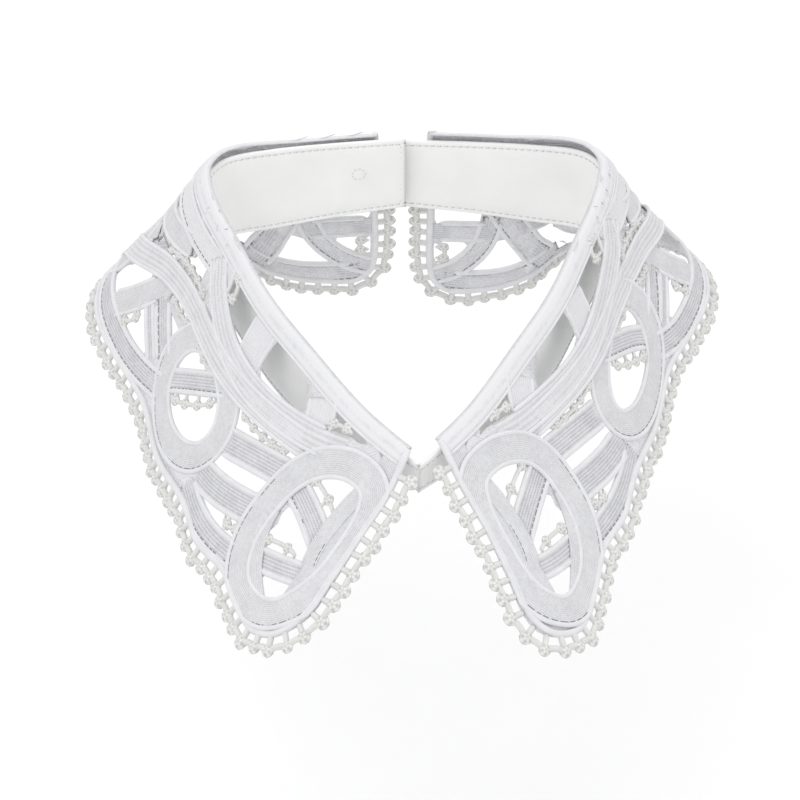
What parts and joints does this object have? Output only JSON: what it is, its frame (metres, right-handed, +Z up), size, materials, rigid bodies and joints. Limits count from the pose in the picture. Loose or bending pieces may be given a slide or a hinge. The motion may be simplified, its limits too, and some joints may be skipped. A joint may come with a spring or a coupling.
{
  "type": "false collar",
  "caption": "Detachable false collar: two falling halves of white tape lace with picot edging, folded over a stand-up cotton neck band that laps at the centre back.",
  "frame": {"origin": "middle of the neck opening, on the level of the band's lower edge at the centre front, where the wearer's neck holds it", "axes": "+Z up along the neck, -Y towards the front where the halves part, +X towards the left half of the wearer; the lap is at the centre back on +Y"},
  "size_m": [0.1938, 0.1901, 0.0782],
  "materials": {
    "band_cotton": "plain woven white cotton, matt",
    "stud_plastic": "white moulded, satin",
    "lace_cotton": "white cotton tape lace with round cords, matt",
    "picot_cotton": "white cotton thread picots, matt"
  },
  "bodies": {
    "root": {"neck_band": "band_cotton", "press_stud": "stud_plastic", "lace_left": "lace_cotton", "lace_right": "lace_cotton", "picot_edging_left": "picot_cotton", "picot_edging_right": "picot_cotton"}
  },
  "joints": []
}
